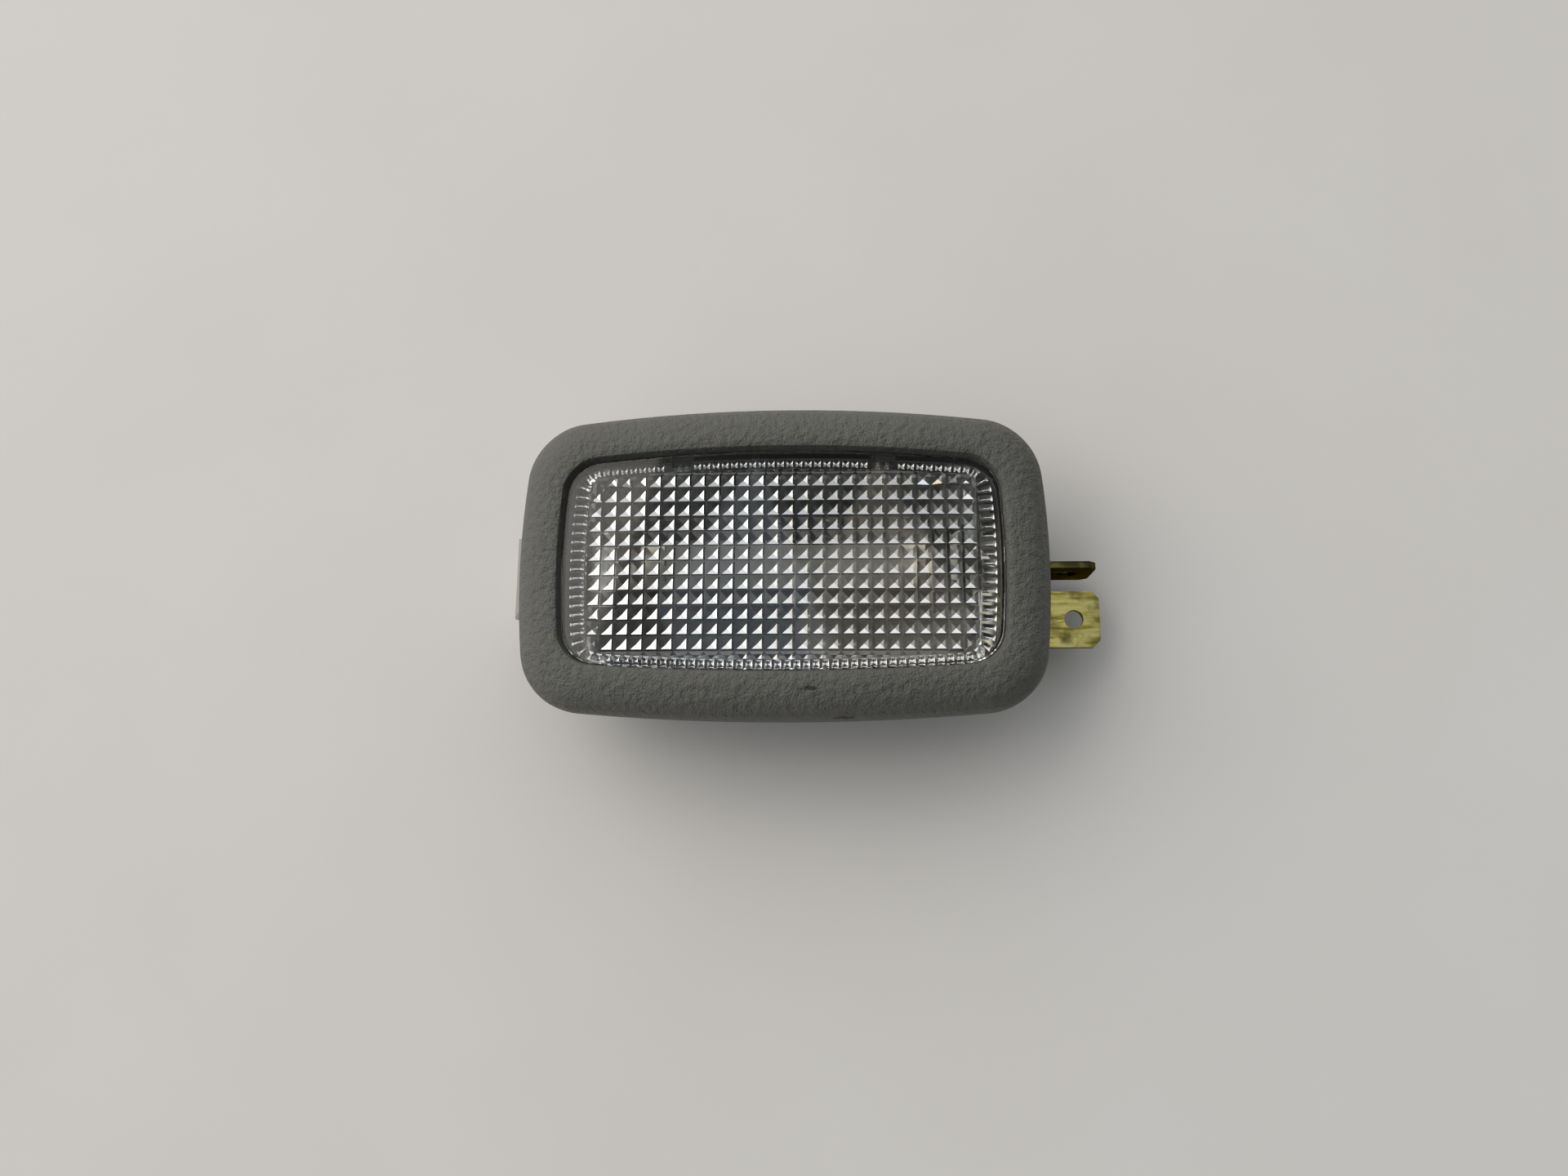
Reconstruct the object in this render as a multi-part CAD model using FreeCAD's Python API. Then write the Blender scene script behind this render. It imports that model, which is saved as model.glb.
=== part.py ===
# Sun visor light: a grey moulded bezel frame, a clear prism lens that snaps into it, a festoon bulb
# over a bright reflector, two brass blade contacts, a rear cover and a sprung retaining clip.
# Millimetres. +Z points out of the lens and +X towards the blades. The origin is the middle of the back.

import FreeCAD
import Part
import math
import os

Vector = FreeCAD.Vector
UP = Vector(0, 0, 1)
SQUARE = ((-1, -1), (1, -1), (1, 1), (-1, 1))

# Bezel outline: every other outline of the lamp is this one drawn in by an inset
BEZEL_LENGTH = 57.1
BEZEL_WIDTH = 33.6
LONG_SIDE_RADIUS = 250.0
SHORT_SIDE_RADIUS = 90.0
BEZEL_CORNER_RADIUS = 7.0

# Heights above the back, on the centre line
CREST_HEIGHT = 17.0
CROWN_RADIUS = 220.0
CROWNED_SPOTS = 4

# Bezel section
BAND_WIDTH = 4.9
WALL = 1.5
WINDOW_CORNER_RADIUS = 4.0
OUTER_ROUNDING_ACROSS = 3.4
OUTER_ROUNDING_DOWN = 2.8
INNER_ROUNDING = 0.7
OUTER_ROUNDING_STEPS = 4
INNER_ROUNDING_STEPS = 2
FLANGE_LIP = 1.4
POCKET_DEPTH = 1.8
POCKET_STEP = 0.1
SIDE_POCKET_LENGTH = 14.0
END_POCKET_LENGTH = 14.0
POCKET_RIB = 2.0
LEDGE_WIDTH = 0.5
LEDGE_THICKNESS = 1.4
SNAP_CLEARANCE = 0.2

# Lens
LENS_RECESS = 1.0
LENS_THICKNESS = 2.9
LENS_CLEARANCE = 0.15
LENS_TAB_SPACING = 21.8
LENS_TAB_WIDTH = 2.0
LENS_TAB_THICKNESS = 0.9
LENS_TAB_LENGTH = 2.4
LENS_TONGUE_LENGTH = 24.0
LENS_TONGUE_REACH = 0.45
LENS_TONGUE_THICKNESS = 0.8
NOSE_REACH = 0.6
NOSE_HEIGHT = 0.9

# Prism field on the inner face of the lens, and the ring of flutes around it
PRISM_PITCH_X = 1.600
PRISM_PITCH_Y = 1.626
PRISM_HEIGHT = 0.55
PRISM_ROOT = 0.1
PRISM_SHIFT_X = -0.12
PRISM_SHIFT_Y = 0.235
FIELD_MARGIN = 1.5
FIELD_END_EXTRA = 1.1
FIELD_CORNER_RADIUS = 1.8
FIELD_FLAT = 10.0
FLUTE_MARGIN = 0.65
FLUTE_END_EXTRA = 0.3
FLUTE_PITCH = 1.0
FLUTE_WIDTH = 0.7
FLUTE_HEIGHT = 0.45
FLUTE_GAP = 0.1
SINK = 0.15

# Rear cover
COVER_THICKNESS = 1.5
COVER_CLEARANCE = 0.15
COVER_FINGER_SPACING = 26.0
COVER_FINGER_WIDTH = 3.0
COVER_FINGER_HEIGHT = 3.0
POST_SIZE = 2.4

# Festoon bulb
BULB_END_ROOM = 5.5
BULB_DIAMETER = 7.6
CAP_DIAMETER = 8.2
CAP_RIM = 3.0
CAP_TIP_DIAMETER = 1.6
CAP_CONE = 2.6

# Reflector pan
REFLECTOR_SHEET = 0.4
REFLECTOR_FLOOR_SETBACK = 4.0
REFLECTOR_FLOOR_WIDTH = 8.0
REFLECTOR_LENS_GAP = 0.95
REFLECTOR_RIM_MARGIN = 0.2
REFLECTOR_SLOT_CLEARANCE = 0.5
REFLECTOR_SILL_CLEARANCE = 0.1

# Blade contacts
BLADE_WIDTH = 6.3
BLADE_SHEET = 0.8
BLADE_HEIGHT = 5.0
BLADE_HOLE_DIAMETER = 2.1
BLADE_HOLE_SETBACK = 2.85
BLADE_TIP_CHAMFER = 0.8
BLADE_SLOT_CLEARANCE = 0.1
FLAT_BLADE_Y = -4.75
FLAT_BLADE_REACH = 9.8
UPRIGHT_BLADE_Y = 0.86
UPRIGHT_BLADE_REACH = 9.2
STRIP_WIDTH = 2.7
STRIP_CLEARANCE = 2.0
CONTACT_GAP = 1.5
LEAF_WIDTH = 5.0
LEAF_RISE = 2.6
LEAF_BEND_RADIUS = 0.8
LEAF_TURN_Y = 2.6
JOGGLE_START = 1.2
JOGGLE_LENGTH = 1.8
TIP_HOLE_DIAMETER = 2.2
TIP_CLEARANCE = 0.05

# Retaining clip and its block, and the fixed hooks at the other end
CLIP_SHEET = 0.4
CLIP_WIDTH = 9.4
CLIP_LEAN = 33.0
CLIP_LEAF_LENGTH = 6.4
CLIP_LIP_LENGTH = 3.6
CLIP_LIP_LEAN = 32.0
CLIP_BEND_RADIUS = 0.8
CLIP_LIP_TAPER = 1.4
CLIP_ROLL_RADIUS = 0.65
CLIP_ROLL_CLEARANCE = 0.15
CLIP_ROLL_HEIGHT = 1.6
CLIP_ROLL_OFFSET = 1.2
CLIP_SWING = 20.0
CLIP_MOUTH_ROOM = 0.1
CLIP_MOUTH_SPARE = 4.0
CLIP_BLOCK_REACH = 2.4
CLIP_BLOCK_HEIGHT = 3.2
CLIP_BLOCK_CHEEK = 1.0
CLIP_END_CLEARANCE = 0.2
HOOK_SPACING = 18.0
HOOK_WIDTH = 3.5
HOOK_REACH = 2.0
HOOK_RAMP = 0.8
HOOK_LAND = 0.7
PANEL_THICKNESS = 1.9

# Places that follow from the sizes above
COLLAR_INSET = BAND_WIDTH - WALL
LENS_INSET = BAND_WIDTH + LENS_CLEARANCE
LENS_FRONT = CREST_HEIGHT - LENS_RECESS
LENS_BACK = LENS_FRONT - LENS_THICKNESS
SEAT_HEIGHT = LENS_BACK - LEDGE_THICKNESS
PRISM_TIP = LENS_BACK - PRISM_ROOT - PRISM_HEIGHT
FIELD_INSET = BAND_WIDTH + FIELD_MARGIN
FLUTE_INSET = BAND_WIDTH + FLUTE_MARGIN
WALL_X = BEZEL_LENGTH / 2 - COLLAR_INSET
CLIP_ROLL_X = -WALL_X - CLIP_ROLL_OFFSET
LENS_TAB_TIP = SEAT_HEIGHT - LENS_TAB_LENGTH
LENS_NOSE = LENS_TAB_TIP + NOSE_HEIGHT / 2
COVER_FINGER_TIP = COVER_THICKNESS + COVER_FINGER_HEIGHT
COVER_NOSE = COVER_FINGER_TIP - 1.5 * NOSE_HEIGHT
BULB_LENGTH = BEZEL_LENGTH - 2 * (BAND_WIDTH + BULB_END_ROOM)
REFLECTOR_BASE = COVER_THICKNESS
REFLECTOR_TOP = PRISM_TIP - REFLECTOR_LENS_GAP
REFLECTOR_FLOOR_LENGTH = BULB_LENGTH - 2 * REFLECTOR_FLOOR_SETBACK
BULB_HEIGHT = (REFLECTOR_BASE + REFLECTOR_SHEET + PRISM_TIP) / 2
REFLECTOR_SILL = BULB_HEIGHT - CAP_DIAMETER / 2 - REFLECTOR_SILL_CLEARANCE
LEAF_TOP = BULB_HEIGHT + LEAF_RISE
SHORT_SIDE_BOW = BLADE_WIDTH**2 / SHORT_SIDE_RADIUS
BIG = BEZEL_LENGTH


def corner_points(inset, corner_radius, end_inset):
    """Where the rounded corner meets the end, its middle, and where it meets the long side."""
    long_radius = LONG_SIDE_RADIUS - inset
    short_radius = SHORT_SIDE_RADIUS - end_inset
    long_centre = Vector(0, BEZEL_WIDTH / 2 - inset - long_radius, 0)
    short_centre = Vector(BEZEL_LENGTH / 2 - end_inset - short_radius, 0, 0)
    from_long = long_radius - corner_radius
    from_short = short_radius - corner_radius
    across = short_centre - long_centre
    along = (from_long**2 - from_short**2 + across.Length**2) / (2 * across.Length)
    aside = math.sqrt(from_long**2 - along**2)
    unit = across / across.Length
    corner = long_centre + unit * along + Vector(-unit.y, unit.x, 0) * aside
    if corner.x < 0:
        corner = long_centre + unit * along - Vector(-unit.y, unit.x, 0) * aside
    on_long = long_centre + (corner - long_centre) * (long_radius / from_long)
    on_short = short_centre + (corner - short_centre) * (short_radius / from_short)
    outward = (on_long + on_short) / 2 - corner
    middle = corner + outward * (corner_radius / outward.Length)
    return on_short, middle, on_long


def outline_wire(inset, corner_radius, height, end_extra=0.0):
    """The bowed outline of the bezel drawn in by an inset, and further at the ends, as eight arcs."""
    end, middle, side = corner_points(inset, corner_radius, inset + end_extra)
    tip_x = BEZEL_LENGTH / 2 - inset - end_extra
    tip_y = BEZEL_WIDTH / 2 - inset
    runs = [
        ((end.x, -end.y), (tip_x, 0), (end.x, end.y)),
        ((end.x, end.y), (middle.x, middle.y), (side.x, side.y)),
        ((side.x, side.y), (0, tip_y), (-side.x, side.y)),
        ((-side.x, side.y), (-middle.x, middle.y), (-end.x, end.y)),
        ((-end.x, end.y), (-tip_x, 0), (-end.x, -end.y)),
        ((-end.x, -end.y), (-middle.x, -middle.y), (-side.x, -side.y)),
        ((-side.x, -side.y), (0, -tip_y), (side.x, -side.y)),
        ((side.x, -side.y), (middle.x, -middle.y), (end.x, -end.y)),
    ]
    edges = []
    for run in runs:
        points = [Vector(x, y, height) for x, y in run]
        edges.append(Part.Arc(*points).toShape())
    return Part.Wire(edges)


def outline_prism(inset, corner_radius, low, high):
    """A straight-walled block on that outline."""
    return Part.Face(outline_wire(inset, corner_radius, low)).extrude(UP * (high - low))


def crown_radius(height):
    """The radius of the crowned surface that lies this high on the centre line."""
    return CROWN_RADIUS - (CREST_HEIGHT - height)


def crown_height(height, x):
    """How high that crowned surface lies at a distance x from the middle."""
    radius = crown_radius(height)
    return height - radius + math.sqrt(radius**2 - x**2)


def under_crown(height):
    """All that lies below that crowned surface, which curves along the length only."""
    radius = crown_radius(height)
    start = Vector(0, -BIG, height - radius)
    across = Vector(0, 1, 0)
    drum = Part.makeCylinder(radius, 2 * BIG, start, across)
    drum.rotate(start, across, 180)
    return drum


def block(low_x, high_x, low_y, high_y, low_z, high_z):
    """A box between two corners."""
    corner = Vector(low_x, low_y, low_z)
    return Part.makeBox(high_x - low_x, high_y - low_y, high_z - low_z, corner)


def ribbon(points, radii, thickness, place):
    """A strip bent along a line of points, as a flat face; each radius is at the strip's mid-line."""
    path = [Vector(a, b, 0) for a, b in points]
    ways = []
    for start, stop in zip(path, path[1:]):
        ways.append((stop - start).normalize())
    normals = [Vector(-way.y, way.x, 0) for way in ways]
    sides = []
    for offset in (thickness / 2, -thickness / 2):
        runs = []
        last = path[0] + normals[0] * offset
        for index, radius in enumerate(radii):
            before, after = ways[index], ways[index + 1]
            turn = math.copysign(1, before.cross(after).z)
            reach = radius * math.tan(before.getAngle(after) / 2)
            entry = path[index + 1] - before * reach
            leave = path[index + 1] + after * reach
            centre = entry + normals[index] * (radius * turn)
            bulge = (normals[index] + normals[index + 1]).normalize() * -turn
            start = entry + normals[index] * offset
            stop = leave + normals[index + 1] * offset
            runs.append((last, start))
            runs.append((start, centre + bulge * (radius - offset * turn), stop))
            last = stop
        runs.append((last, path[-1] + normals[-1] * offset))
        sides.append(runs)
    left, right = sides
    back = [tuple(reversed(run)) for run in reversed(right)]
    outline = left + [(left[-1][-1], back[0][0])] + back + [(back[-1][-1], left[0][0])]
    edges = []
    for run in outline:
        if (run[0] - run[-1]).Length > 1e-6:
            spots = [place(spot.x, spot.y) for spot in run]
            curve = Part.LineSegment(*spots) if len(run) == 2 else Part.Arc(*spots)
            edges.append(curve.toShape())
    return Part.Face(Part.Wire(edges))


def polygon_prism(points, direction):
    """A flat polygon pushed along a direction."""
    return Part.Face(Part.makePolygon(points + points[:1])).extrude(direction)


def tapered_block(base, top):
    """A solid with a flat side between each pair of matching edges of two rings of points."""
    faces = [Part.Face(Part.makePolygon(ring + ring[:1])) for ring in (base, top)]
    for index in range(len(base)):
        after = (index + 1) % len(base)
        corners = [base[index], base[after], top[after], top[index]]
        faces.append(Part.Face(Part.makePolygon(corners + corners[:1])))
    return Part.Solid(Part.Shell(faces))


def band_corner(inset):
    """The corner radius across the band, from the bezel's edge to the window."""
    return BEZEL_CORNER_RADIUS + (WINDOW_CORNER_RADIUS - BEZEL_CORNER_RADIUS) * inset / BAND_WIDTH


def crowned_wire(inset, height):
    """The outline at this inset, laid on the crowned surface at this height."""
    edges = []
    for edge in outline_wire(inset, band_corner(inset), 0).Edges:
        points = []
        for spot in edge.discretize(Number=CROWNED_SPOTS):
            points.append(Vector(spot.x, spot.y, crown_height(height, spot.x)))
        curve = Part.BSplineCurve()
        curve.interpolate(points)
        edges.append(curve.toShape())
    return Part.Wire(edges)


def sag(radius, away):
    """How far an arc drops from its tangent at this distance from its middle."""
    return radius - math.sqrt(radius**2 - away**2)


def core_pockets():
    """The pockets that keep the flange's section even: two along each side and one at each end."""
    low, high = SEAT_HEIGHT, SEAT_HEIGHT + POCKET_DEPTH
    inner, outer = COLLAR_INSET - POCKET_STEP, FLANGE_LIP
    near, far = POCKET_RIB / 2, POCKET_RIB / 2 + SIDE_POCKET_LENGTH
    side_low = BEZEL_WIDTH / 2 - inner
    side_high = BEZEL_WIDTH / 2 - outer - sag(LONG_SIDE_RADIUS, far)
    half = END_POCKET_LENGTH / 2
    end_low = BEZEL_LENGTH / 2 - inner
    end_high = BEZEL_LENGTH / 2 - outer - sag(SHORT_SIDE_RADIUS, half)
    side = block(near, far, side_low, side_high, low, high)
    end = block(end_low, end_high, -half, half, low, high)
    middle = Vector(0, 0, 0)
    across, along = Vector(1, 0, 0), Vector(0, 1, 0)
    pockets = [side, side.mirror(middle, across), end, end.mirror(middle, across)]
    return pockets + [pocket.mirror(middle, along) for pocket in pockets[:2]]


def bezel_flange():
    """The visible band: crowned along its length, rounded outside and inside, cored from below."""
    rings = [outline_wire(0, BEZEL_CORNER_RADIUS, SEAT_HEIGHT)]
    for step in range(OUTER_ROUNDING_STEPS + 1):
        angle = math.radians(90 * step / OUTER_ROUNDING_STEPS)
        inset = OUTER_ROUNDING_ACROSS * (1 - math.cos(angle))
        rings.append(crowned_wire(inset, CREST_HEIGHT - OUTER_ROUNDING_DOWN * (1 - math.sin(angle))))
    for step in range(INNER_ROUNDING_STEPS + 1):
        angle = math.radians(90 * step / INNER_ROUNDING_STEPS)
        inset = BAND_WIDTH - INNER_ROUNDING * (1 - math.sin(angle))
        rings.append(crowned_wire(inset, CREST_HEIGHT - INNER_ROUNDING * (1 - math.cos(angle))))
    rings.append(outline_wire(BAND_WIDTH, WINDOW_CORNER_RADIUS, LENS_BACK))
    flange = Part.makeLoft(rings, True, True)
    opening = BAND_WIDTH + LEDGE_WIDTH
    hole = outline_prism(opening, band_corner(opening), 0, CREST_HEIGHT)
    return flange.cut([hole] + core_pockets())


def bezel_wall():
    """The box wall behind the flange."""
    top = SEAT_HEIGHT + LEDGE_THICKNESS / 2
    wall = outline_prism(COLLAR_INSET, band_corner(COLLAR_INSET), 0, top)
    return wall.cut(outline_prism(BAND_WIDTH, WINDOW_CORNER_RADIUS, 0, top))


def finger_places(spacing, sides):
    """The middle of each snap finger along the length, and the side that it is on."""
    return [(x, side) for x in (-spacing / 2, spacing / 2) for side in sides]


def finger_block(x, side, width, inner_inset, low, high):
    """A box at one long side, from an inset out past the bezel."""
    inner = BEZEL_WIDTH / 2 - inner_inset
    edges = sorted((side * inner, side * BIG))
    return block(x - width / 2, x + width / 2, edges[0], edges[1], low, high)


def snap_finger(x, side, width, inset, root, tip, nose_low):
    """A flat finger just inside the wall, with a nose that points outwards."""
    reach = inset + LENS_TAB_THICKNESS
    low, high = min(root, tip), max(root, tip)
    drawn = BEZEL_CORNER_RADIUS - inset
    finger = finger_block(x, side, width, reach + WALL, low, high)
    finger = finger.common(outline_prism(inset, drawn, low, high))
    finger = finger.cut(outline_prism(reach, drawn, low, high))
    nose = finger_block(x, side, width, reach, nose_low, nose_low + NOSE_HEIGHT)
    nose = nose.common(outline_prism(inset - NOSE_REACH, drawn, nose_low, nose_low + NOSE_HEIGHT))
    nose = nose.cut(outline_prism(reach, drawn, nose_low, nose_low + NOSE_HEIGHT))
    return finger.fuse(nose)


def snap_window(x, side, width, nose_low):
    """The hole in the wall that a nose springs into."""
    room = width + 2 * SNAP_CLEARANCE
    low = nose_low - SNAP_CLEARANCE
    high = nose_low + NOSE_HEIGHT + SNAP_CLEARANCE
    return finger_block(x, side, room, BAND_WIDTH + WALL / 2, low, high)


def tongue(reach, length, thickness):
    """The lip along the lower edge of the lens, which lies on the ledge."""
    inset = BAND_WIDTH - reach
    top = LENS_BACK + thickness
    piece = finger_block(0, -1, length, LENS_INSET + WALL, LENS_BACK, top)
    return piece.common(outline_prism(inset, band_corner(inset), LENS_BACK, top))


def blade_slots():
    """The two slots in the end wall that the blades pass through."""
    low_x = WALL_X - WALL - SNAP_CLEARANCE - SHORT_SIDE_BOW
    half_width = BLADE_WIDTH / 2 + BLADE_SLOT_CLEARANCE
    half_sheet = BLADE_SHEET / 2 + BLADE_SLOT_CLEARANCE
    flat = block(
        low_x, WALL_X + WALL, FLAT_BLADE_Y - half_width, FLAT_BLADE_Y + half_width,
        BLADE_HEIGHT - half_sheet, BLADE_HEIGHT + half_sheet,
    )
    upright = block(
        low_x, WALL_X + WALL, UPRIGHT_BLADE_Y - half_sheet, UPRIGHT_BLADE_Y + half_sheet,
        BLADE_HEIGHT - half_width, BLADE_HEIGHT + half_width,
    )
    return [flat, upright]


def panel_hook(y):
    """A fixed hook on the blade end that catches behind the panel."""
    root = WALL_X - WALL / 2 - HOOK_SPACING**2 / (8 * SHORT_SIDE_RADIUS)
    top = SEAT_HEIGHT - PANEL_THICKNESS
    low = y - HOOK_WIDTH / 2
    points = [
        Vector(root, low, top),
        Vector(WALL_X + HOOK_REACH, low, top),
        Vector(WALL_X + HOOK_REACH, low, top - HOOK_LAND),
        Vector(WALL_X, low, top - HOOK_LAND - HOOK_RAMP),
        Vector(root, low, top - HOOK_LAND - HOOK_RAMP),
    ]
    return polygon_prism(points, Vector(0, HOOK_WIDTH, 0))


def clip_point(lean, aside, along):
    """A point beside the clip's roll: along a direction that leans outwards, and aside from it."""
    angle = math.radians(lean)
    x = CLIP_ROLL_X - along * math.sin(angle) - aside * math.cos(angle)
    z = CLIP_ROLL_HEIGHT + along * math.cos(angle) - aside * math.sin(angle)
    return x, z


def clip_block():
    """The block on the clip end, with the round socket and the mouth that the leaf swings in."""
    half = CLIP_WIDTH / 2 + CLIP_END_CLEARANCE + CLIP_BLOCK_CHEEK
    piece = block(-WALL_X - CLIP_BLOCK_REACH, -WALL_X + WALL / 2, -half, half, 0, CLIP_BLOCK_HEIGHT)
    outer = CLIP_ROLL_RADIUS + CLIP_SHEET / 2
    room = CLIP_WIDTH / 2 + CLIP_END_CLEARANCE
    centre = Vector(CLIP_ROLL_X, -room, CLIP_ROLL_HEIGHT)
    socket = Part.makeCylinder(outer + CLIP_ROLL_CLEARANCE, 2 * room, centre, Vector(0, 1, 0))
    inner_lean = CLIP_LEAN - CLIP_SWING - CLIP_MOUTH_SPARE
    inner_side = CLIP_ROLL_RADIUS - CLIP_SHEET - CLIP_MOUTH_ROOM
    outer_side = outer + CLIP_MOUTH_ROOM
    corners = [
        clip_point(inner_lean, inner_side, 0),
        clip_point(inner_lean, inner_side, CLIP_LEAF_LENGTH),
        clip_point(CLIP_LEAN, outer_side, CLIP_LEAF_LENGTH),
        clip_point(CLIP_LEAN, outer_side, 0),
    ]
    mouth = polygon_prism([Vector(x, -room, z) for x, z in corners], Vector(0, 2 * room, 0))
    return piece.cut([socket, mouth])


def bezel_frame():
    """The grey frame: band, box wall, lens ledge, hooks, clip block and all its openings."""
    frame = bezel_flange().fuse(bezel_wall())
    frame = frame.fuse([panel_hook(-HOOK_SPACING / 2), panel_hook(HOOK_SPACING / 2), clip_block()])
    cuts = blade_slots()
    for x, side in finger_places(LENS_TAB_SPACING, (1,)):
        cuts.append(snap_window(x, side, LENS_TAB_WIDTH, LENS_NOSE))
        room = LENS_TAB_WIDTH + 2 * SNAP_CLEARANCE
        notch = finger_block(x, side, room, BAND_WIDTH + WALL, 0, LENS_BACK)
        cuts.append(notch.common(outline_prism(BAND_WIDTH, WINDOW_CORNER_RADIUS, 0, LENS_BACK)))
    for x, side in finger_places(COVER_FINGER_SPACING, (-1, 1)):
        cuts.append(snap_window(x, side, COVER_FINGER_WIDTH, COVER_NOSE))
    groove_length = LENS_TONGUE_LENGTH + 2 * SNAP_CLEARANCE
    groove_height = LENS_TONGUE_THICKNESS + SNAP_CLEARANCE
    cuts.append(tongue(LENS_TONGUE_REACH + SNAP_CLEARANCE, groove_length, groove_height))
    return frame.cut(cuts).removeSplitter()


def lens_plate():
    """The plate of the lens: a smooth crowned front, and a flat back that lies on the ledge."""
    plate = outline_prism(LENS_INSET, band_corner(LENS_INSET), LENS_BACK, CREST_HEIGHT)
    return plate.common(under_crown(LENS_FRONT))


def roof(half_x, half_y, half_ridge, height):
    """A hipped roof that points down, its base sunk a little into the plate."""
    spread_x = half_x + (half_x - half_ridge) * SINK / height
    spread_y = half_y + half_y * SINK / height
    base = []
    for x, y in SQUARE:
        base.append(Vector(x * spread_x, y * spread_y, SINK))
    left, right = Vector(-half_ridge, 0, -height), Vector(half_ridge, 0, -height)
    outlines = [
        base,
        [base[0], base[1], right, left],
        [base[1], base[2], right],
        [base[2], base[3], left, right],
        [base[3], base[0], left],
    ]
    faces = [Part.Face(Part.makePolygon(points + points[:1])) for points in outlines]
    return Part.Solid(Part.Shell(faces))


def ridges(pitch, shift, span, place, direction):
    """A block whose under side is a row of V-shaped ridges."""
    count = math.ceil(span / 2 / pitch)
    valley = LENS_BACK - PRISM_ROOT
    first, last = shift - count * pitch, shift + count * pitch
    outline = [(first, LENS_BACK + SINK)]
    for index in range(-count, count):
        start = shift + index * pitch
        outline += [(start, valley), (start + pitch / 2, valley - PRISM_HEIGHT)]
    outline += [(last, valley), (last, LENS_BACK + SINK)]
    return polygon_prism([place(along, height) for along, height in outline], direction)


def prism_field():
    """The pad of four-sided prisms: what two crossing rows of ridges have in common inside the field."""
    corners = []
    top = LENS_BACK + SINK
    for edge in outline_wire(FIELD_INSET, FIELD_CORNER_RADIUS, top, FIELD_END_EXTRA).Edges:
        flats = math.ceil(edge.Length / FIELD_FLAT)
        corners += edge.discretize(Number=flats + 1)[:-1]
    pad = polygon_prism(corners, -UP * (SINK + PRISM_ROOT + PRISM_HEIGHT))
    half_x, half_y = BEZEL_LENGTH / 2, BEZEL_WIDTH / 2
    across = ridges(
        PRISM_PITCH_X, PRISM_SHIFT_X, BEZEL_LENGTH,
        lambda x, z: Vector(x, -half_y, z), Vector(0, BEZEL_WIDTH, 0),
    )
    along = ridges(
        PRISM_PITCH_Y, PRISM_SHIFT_Y, BEZEL_WIDTH,
        lambda y, z: Vector(-half_x, y, z), Vector(BEZEL_LENGTH, 0, 0),
    )
    return pad.common(across).common(along)


def flute(along):
    """One flute, ridged along its length, that points outwards where the ring runs this way."""
    endwards = (along.y / along.Length) ** 2
    half = (FIELD_INSET - FLUTE_INSET - FLUTE_GAP + (FIELD_END_EXTRA - FLUTE_END_EXTRA) * endwards) / 2
    piece = roof(half, FLUTE_WIDTH / 2, half - FLUTE_WIDTH / 2, FLUTE_HEIGHT)
    piece.translate(Vector(FLUTE_GAP / 2, 0, 0))
    piece.rotate(Vector(0, 0, 0), UP, math.degrees(math.atan2(-along.x, along.y)))
    return piece


def flute_ring():
    """The flutes that stand side by side around the field, square to its edge and fanned at corners."""
    middle_inset = (FIELD_INSET + FLUTE_INSET) / 2
    corner_radius = FIELD_CORNER_RADIUS + FIELD_INSET - middle_inset
    path = outline_wire(middle_inset, corner_radius, 0, (FIELD_END_EXTRA + FLUTE_END_EXTRA) / 2)
    count = round(path.Length / FLUTE_PITCH)
    spots = path.discretize(Number=count + 1)[:-1]
    flutes = []
    for index, spot in enumerate(spots):
        along = spots[(index + 1) % count] - spots[index - 1]
        from_tab = abs(abs(spot.x) - LENS_TAB_SPACING / 2)
        on_tab = spot.y > 0 and from_tab < (LENS_TAB_WIDTH + FLUTE_WIDTH) / 2
        if not on_tab:
            flutes.append(flute(along).translated(Vector(spot.x, spot.y, LENS_BACK)))
    return flutes


def lens():
    """The clear lens: plate, lip, snap tabs, prism field and flutes, moulded in one."""
    plate = lens_plate()
    extras = [tongue(LENS_TONGUE_REACH, LENS_TONGUE_LENGTH, LENS_TONGUE_THICKNESS)]
    for x, side in finger_places(LENS_TAB_SPACING, (1,)):
        root = LENS_BACK + SINK
        extras.append(snap_finger(x, side, LENS_TAB_WIDTH, LENS_INSET, root, LENS_TAB_TIP, LENS_NOSE))
    return plate.fuse(extras + [prism_field()] + flute_ring()).removeSplitter()


def rear_cover():
    """The flat cover that closes the back, with its snap fingers and the posts under the flat contact."""
    inset = BAND_WIDTH + COVER_CLEARANCE
    cover = outline_prism(inset, WINDOW_CORNER_RADIUS - COVER_CLEARANCE, 0, COVER_THICKNESS)
    pieces = []
    for x, side in finger_places(COVER_FINGER_SPACING, (-1, 1)):
        root = COVER_THICKNESS - SINK
        pieces.append(snap_finger(x, side, COVER_FINGER_WIDTH, inset, root, COVER_FINGER_TIP, COVER_NOSE))
    top = BLADE_HEIGHT - BLADE_SHEET / 2
    half = POST_SIZE / 2
    strip_x, strip_y = strip_middle()
    for x, y in ((strip_x, 0), (strip_x, strip_y), (-strip_x, strip_y)):
        pieces.append(block(x - half, x + half, y - half, y + half, COVER_THICKNESS - SINK, top))
    return cover.fuse(pieces).removeSplitter()


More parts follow.
